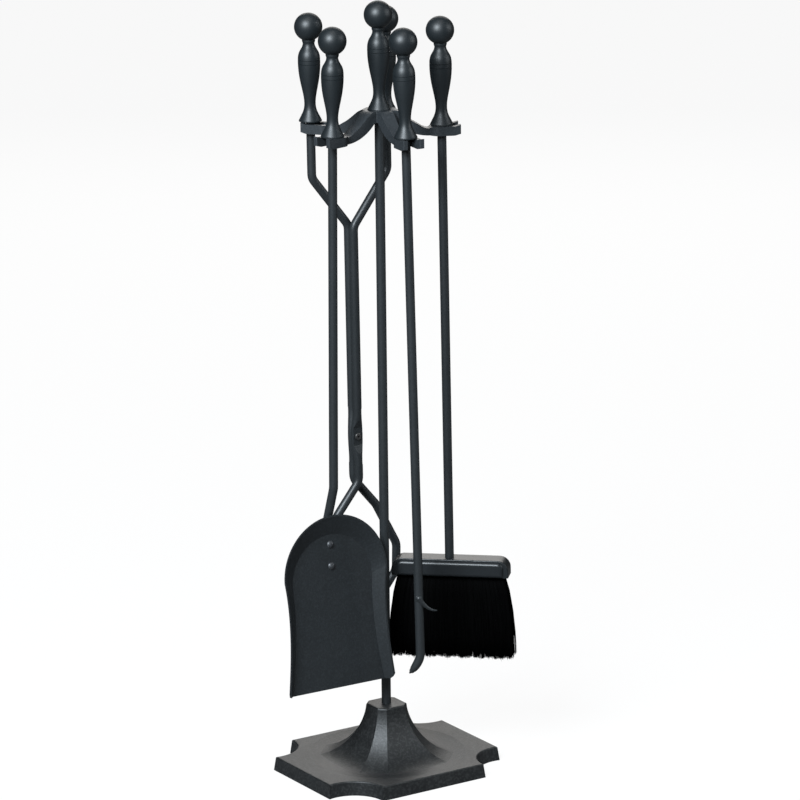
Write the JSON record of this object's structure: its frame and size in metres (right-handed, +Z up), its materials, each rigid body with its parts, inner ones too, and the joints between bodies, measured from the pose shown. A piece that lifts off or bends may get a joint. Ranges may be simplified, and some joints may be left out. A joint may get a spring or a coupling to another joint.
{
  "type": "fireplace tool set",
  "caption": "Cast stand with a forked rack that carries a hanging ash shovel, poker, hearth brush and crossed log tongs, all with turned ball-end handles.",
  "frame": {"origin": "on the floor at the underside of the base, below the axis of the post", "axes": "+Z up along the post, +X along the long side of the base towards the brush, -Y to the front, the way the open face of the shovel looks"},
  "size_m": [0.2485, 0.1762, 0.7875],
  "materials": {
    "cast_black": "satin black coat with a fine sandy grain, on cast iron",
    "coat_black": "satin black powder coat on steel",
    "handle_black": "smoother satin black coat on turned steel",
    "rivet_metal": "worn bright steel",
    "zinc_metal": "plain zinc-plated fastener",
    "block_wood": "plain hardwood, out of sight",
    "bristle_black": "fine black fibres"
  },
  "bodies": {
    "stand": {"base_casting": "cast_black", "post": "coat_black", "base_washer": "zinc_metal", "base_nut": "zinc_metal", "rack_casting": "cast_black", "stand_handle": "handle_black"},
    "shovel": {"shovel_handle": "handle_black", "shovel_rod": "coat_black", "shovel_pan": "coat_black", "shovel_rivets": "rivet_metal"},
    "poker": {"poker_handle": "handle_black", "poker_rod": "coat_black", "poker_barb": "coat_black"},
    "brush": {"brush_handle": "handle_black", "brush_rod": "coat_black", "brush_head_cover": "coat_black", "brush_block": "block_wood", "brush_nut": "zinc_metal", "brush_bristles": "bristle_black"},
    "tongs_pivot": {"tongs_pivot_rivet": "rivet_metal"},
    "tongs_front": {"tongs_front_arm": "coat_black", "tongs_front_handle": "handle_black", "tongs_front_paw": "coat_black"},
    "tongs_back": {"tongs_back_arm": "coat_black", "tongs_back_handle": "handle_black", "tongs_back_paw": "coat_black"}
  },
  "joints": [
    {"name": "shovel_lift", "type": "slide", "parent": "stand", "child": "shovel", "axis": [-0.8858, -0.1915, 0.4226], "range_m": [0, 0.12]},
    {"name": "poker_lift", "type": "slide", "parent": "stand", "child": "poker", "axis": [-0.123, -0.8979, 0.4226], "range_m": [0, 0.12]},
    {"name": "brush_lift", "type": "slide", "parent": "stand", "child": "brush", "axis": [0.8247, -0.3758, 0.4226], "range_m": [0, 0.12]},
    {"name": "tongs_lift", "type": "slide", "parent": "stand", "child": "tongs_pivot", "axis": [0, 0.9063, 0.4226], "range_m": [0, 0.11]},
    {"name": "tongs_front_hinge", "type": "hinge", "parent": "tongs_pivot", "child": "tongs_front", "pos_m": [0.00144, 0.0543, 0.33601], "axis": [0, 1, 0], "range_deg": [0, 16]},
    {"name": "tongs_back_hinge", "type": "hinge", "parent": "tongs_pivot", "child": "tongs_back", "pos_m": [0.00144, 0.0543, 0.33601], "axis": [0, 1, 0], "range_deg": [-14, 0]}
  ],
  "couplings": [
    {"joint": "tongs_front_hinge", "follows": "tongs_lift", "rad_per_m": 2.2456},
    {"joint": "tongs_back_hinge", "follows": "tongs_lift", "rad_per_m": -1.999}
  ]
}
